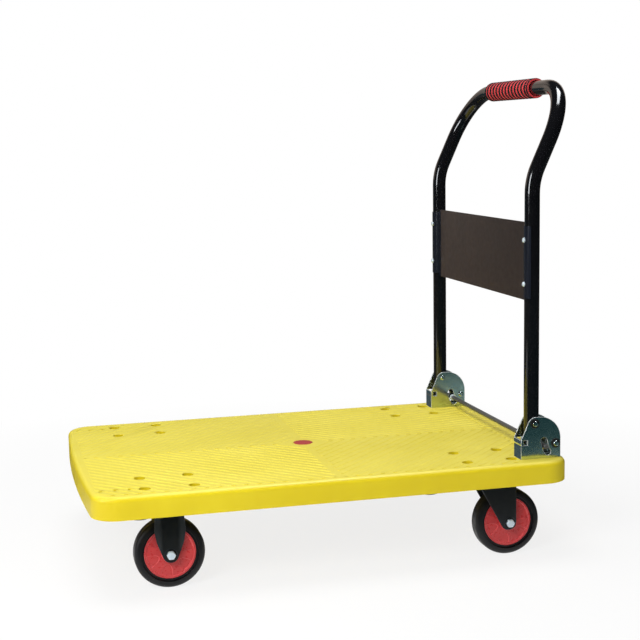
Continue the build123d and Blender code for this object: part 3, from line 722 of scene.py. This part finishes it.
def ring_outline(middle, width):
    """A ring with a rounded crown, sunk into the sleeve."""
    outline = [(ring_root, middle + width / 2), (ring_root, middle - width / 2)]
    for i in range(ring_steps + 1):
        t = i / ring_steps * pi
        outline.append((core + (rim - core) * sin(t) ** 0.5, middle - width / 2 * cos(t)))
    return outline


low, high = grip_low.y, grip_high.y
sleeve = [(bore, high), (bore, low + countersink_depth), (countersink, low), (core, low), (core, high)]
rings = [ring_outline(low + end_width + (i + 0.5) * ring_pitch, ring_width) for i in range(ring_count)]
rings += [ring_outline(y, end_width) for y in (low + end_lip + end_width / 2, high - end_width / 2)]
grip_part("grip_sleeve", [sleeve], grip_red, "grip")
grip_part("grip_rings", rings, grip_black)


# Stage, light and camera

def stage_object(name, corners_list, material):
    mesh = bpy.data.meshes.new(name)
    mesh.from_pydata(corners_list, [], [tuple(range(len(corners_list)))])
    made = bpy.data.objects.new(name, mesh)
    mesh.materials.append(material)
    scene.collection.objects.link(made)
    return made


def seen_rays(paint):
    """One for the rays that show the background: camera, glossy and transmission."""
    light = paint.node("LightPath")
    seen = paint.larger(light.outputs["Is Camera Ray"], light.outputs["Is Glossy Ray"])
    return paint.larger(seen, light.outputs["Is Transmission Ray"])


def floor_material():
    """Pale floor near the object, plain white background further out."""
    paint = Paint("floor", Base_Color=(0.90, 0.90, 0.90, 1), Roughness=0.9)
    paint.shader.inputs["Specular IOR Level"].default_value = 0.0
    distance = paint.node("VectorMath", operation="LENGTH")
    paint.link(paint.place, distance.inputs[0])
    far = paint.between(distance.outputs["Value"], 0.6, 1.4, 0.82, 1.0)
    glow = paint.node("Emission")
    mix = paint.node("MixShader")
    paint.link(paint.times(far, seen_rays(paint)), mix.inputs[0])
    paint.link(paint.shader.outputs[0], mix.inputs[1])
    paint.link(glow.outputs[0], mix.inputs[2])
    paint.link(mix.outputs[0], paint.tree.nodes["Material Output"].inputs["Surface"])
    return paint.material


floor_reach = 30.0
floor_corners = [(i * floor_reach, j * floor_reach, 0) for i, j in ((-1, -1), (1, -1), (1, 1), (-1, 1))]
stage_object("floor", floor_corners, floor_material())
card_lift = 0.002


def card(name, corners_list, stops, strength=1.0):
    """A studio card that only mirrors show, in colours that run up from the floor."""
    paint = Paint(name)
    height = paint.part(paint.place, "Z")
    shade = stops[0][1]
    for (start, first), (end, second) in zip(stops, stops[1:]):
        shade = paint.mixed(paint.between(height, start, end), shade, second)
    glow = paint.node("Emission")
    glow.inputs["Strength"].default_value = strength
    if isinstance(shade, tuple):
        glow.inputs["Color"].default_value = (*shade, 1)
    else:
        paint.link(shade, glow.inputs["Color"])
    paint.link(glow.outputs[0], paint.tree.nodes["Material Output"].inputs["Surface"])
    made = stage_object(name, corners_list, paint.material)
    made.visible_camera = False
    made.visible_diffuse = False
    made.visible_shadow = False


def wall(name, start, end, height, stops):
    """An upright card between two points of the floor."""
    (x0, y0), (x1, y1) = start, end
    card(name, [(x0, y0, card_lift), (x1, y1, card_lift), (x1, y1, height), (x0, y0, height)], stops)


def flat_card(name, low, high, colour, level=card_lift):
    """A level card, on the floor or above it."""
    (x0, y0), (x1, y1) = low, high
    card(name, [(x0, y0, level), (x1, y0, level), (x1, y1, level), (x0, y1, level)], [(0, colour)])


room_left, room_right, room_front, room_back, room_high = -2.1, 2.8, -2.0, 1.8, 4.0
back_split = -0.05
deck_near, deck_far = -0.38, 0.36
dark = (0.010, 0.012, 0.014)
teal = (0.013, 0.040, 0.043)
haze = (0.36, 0.31, 0.27)
slate = (0.05, 0.085, 0.10)
umber = (0.16, 0.14, 0.125)
warm = (0.55, 0.46, 0.40)
shade = (0.06, 0.055, 0.05)
pane = (0.92, 0.96, 1.0)
front_stops = [(0, teal), (0.15, teal), (0.45, dark)]
side_stops = [(0, (0.04, 0.045, 0.045)), (0.5, dark)]
back_left = [(0, umber), (0.30, umber), (0.34, slate), (0.75, slate), (0.9, warm), (1.4, warm), (1.8, dark)]
back_right = [(0, shade), (0.35, shade), (0.45, haze), (1.3, haze), (1.4, warm), (1.8, warm), (2.2, dark)]
wall("card_front", (room_left, room_front), (room_right, room_front), room_high, front_stops)
wall("card_left", (room_left, room_front), (room_left, room_back), room_high, side_stops)
wall("card_right", (room_right, room_front), (room_right, room_back), room_high, side_stops)
wall("card_back_left", (room_left, room_back), (back_split, room_back), room_high, back_left)
wall("card_back_right", (back_split, room_back), (room_right, room_back), room_high, back_right)
flat_card("card_roof", (room_left, room_front), (room_right, room_back), dark, room_high)
flat_card("card_floor", (room_left, room_front), (room_right, deck_near), teal)
flat_card("card_right_floor", (0.62, deck_near), (room_right, deck_far), dark)
flat_card("card_far_floor", (room_left, deck_far), (room_right, room_back), (0.05, 0.056, 0.06))
flat_card("card_glow", (0.60, -0.92), (1.10, -0.60), (0.34, 0.46, 0.42), 2 * card_lift)

window_x = -2.05
window = [(window_x, y, z) for y, z in ((-1.12, 0.6), (-0.50, 0.6), (-0.50, 1.7), (-1.12, 1.7))]
card("card_window", window, [(0, pane)], 13)
skylight_z = 3.3
skylight = [(x, y, skylight_z) for x, y in ((0.8, 1.25), (1.8, 0.5), (0.8, -0.8), (-0.15, -0.25))]
card("card_skylight", skylight, [(0, pane)], 12)

world = bpy.data.worlds.new("studio")
scene.world = world
world.use_nodes = True
ambient = 0.28


class Sky(Paint):
    def __init__(self, tree):
        self.tree = tree


sky = Sky(world.node_tree)
background = world.node_tree.nodes["Background"]
background.inputs["Color"].default_value = (1, 1, 1, 1)
strength = sky.between(seen_rays(sky), 0, 1, ambient, 1.0)
sky.link(strength, background.inputs["Strength"])


def area_light(name, place, target, size, power, colour=(1, 1, 1)):
    lamp = bpy.data.lights.new(name, "AREA")
    lamp.shape = "RECTANGLE"
    lamp.size, lamp.size_y = size
    lamp.energy = power
    lamp.color = colour
    made = bpy.data.objects.new(name, lamp)
    made.location = place
    made.rotation_euler = (Vector(target) - Vector(place)).to_track_quat("-Z", "Y").to_euler()
    made.visible_camera = False
    made.visible_glossy = False
    scene.collection.objects.link(made)


area_light("key", (-1.30, -1.55, 1.32), (-0.1, 0, 0.25), (0.8, 0.8), 27.5)
area_light("window", (2.4, -1.7, 2.2), (0.4, 0, 0.8), (0.35, 0.7), 4, (0.9, 0.95, 1))
area_light("overhead", (-0.45, -0.2, 2.8), (0, 0, 0), (1.6, 1.6), 41)

yaw, pitch, roll = radians(14.468), radians(7.900), radians(-0.965)
ahead = Vector((sin(yaw) * cos(pitch), cos(yaw) * cos(pitch), -sin(pitch)))
across = Vector((cos(yaw), -sin(yaw), 0))
above = across.cross(ahead)
right = across * cos(roll) + above * sin(roll)
upward = above * cos(roll) - across * sin(roll)
image_width = 640
focal_pixels = 1330.25
lens = bpy.data.cameras.new("camera")
lens.sensor_width = 36
lens.lens = lens.sensor_width * focal_pixels / image_width
camera = bpy.data.objects.new("camera", lens)
turn = Matrix((right, upward, -ahead)).transposed().to_4x4()
camera_place = (mid_x - 0.6081, -2.5087, 0.7935)
camera.matrix_world = Matrix.Translation(camera_place) @ turn
scene.collection.objects.link(camera)
scene.camera = camera
scene.view_settings.view_transform = "Standard"
